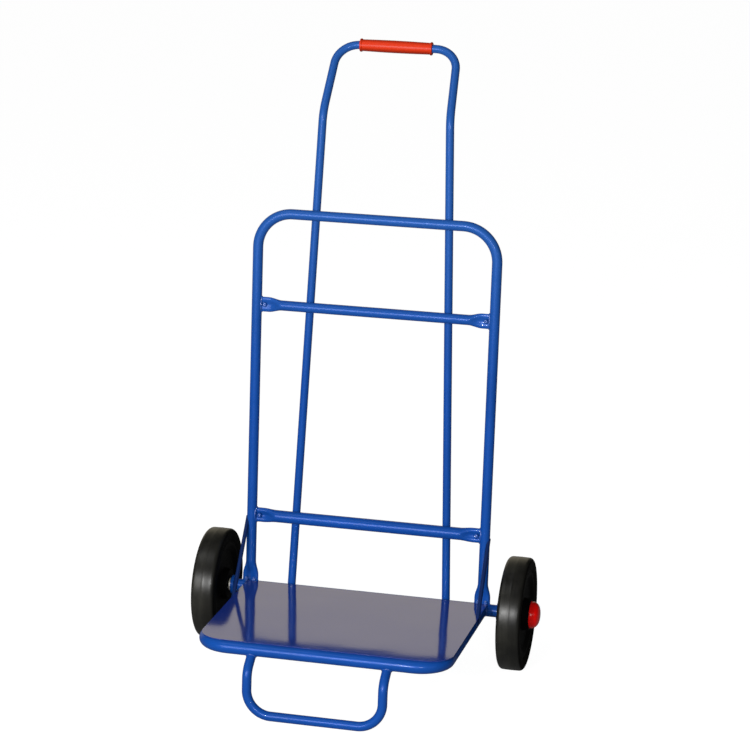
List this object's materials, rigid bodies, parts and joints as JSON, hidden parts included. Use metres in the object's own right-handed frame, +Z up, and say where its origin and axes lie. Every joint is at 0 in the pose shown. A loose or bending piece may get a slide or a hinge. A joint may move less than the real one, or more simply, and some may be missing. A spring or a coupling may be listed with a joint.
{
  "type": "flyer delivery cart",
  "caption": "Upright wheeled delivery cart: bent tube hoop with crossbars, low sheet platform in a tube frame, handle loop with grip, stand loop and solid wheels.",
  "frame": {"origin": "on the ground, in the middle of the cart's box seen from above", "axes": "+X along the axle, to the right as seen from the front; +Y to the rear, where the handle is; +Z up"},
  "size_m": [0.6322, 0.5064, 1.0795],
  "materials": {
    "enamel": "gloss blue enamel",
    "tyre": "matt black rubber",
    "rim": "satin black",
    "grip": "satin orange red",
    "cap": "gloss red",
    "steel": "bright zinc",
    "nylon": "natural nylon"
  },
  "bodies": {
    "cart_frame": {"hoop_frame": "enamel", "upper_crossbar": "enamel", "lower_crossbar": "enamel", "handle_loop": "enamel", "platform_frame": "enamel", "platform_plate": "enamel", "stand_loop": "enamel", "brace_left": "enamel", "brace_right": "enamel", "axle_tube": "enamel", "axle_collar_left": "enamel", "axle_collar_right": "enamel", "handle_grip": "grip", "axle_rod": "steel", "inner_washer_left": "steel", "outer_washer_left": "steel", "push_nut_left": "steel", "inner_washer_right": "steel", "outer_washer_right": "steel", "push_nut_right": "steel"},
    "left_wheel": {"tyre_left": "tyre", "wheel_rim_left": "rim", "inner_bush_left": "nylon", "outer_bush_left": "nylon", "hub_cap_left": "cap"},
    "right_wheel": {"tyre_right": "tyre", "wheel_rim_right": "rim", "inner_bush_right": "nylon", "outer_bush_right": "nylon", "hub_cap_right": "cap"}
  },
  "joints": [
    {"name": "left_wheel_spin", "type": "hinge", "parent": "cart_frame", "child": "left_wheel", "pos_m": [-0.2743, 0.11695, 0.1], "axis": [1, 0, 0], "continuous": true},
    {"name": "right_wheel_spin", "type": "hinge", "parent": "cart_frame", "child": "right_wheel", "pos_m": [0.2743, 0.11695, 0.1], "axis": [1, 0, 0], "continuous": true}
  ]
}
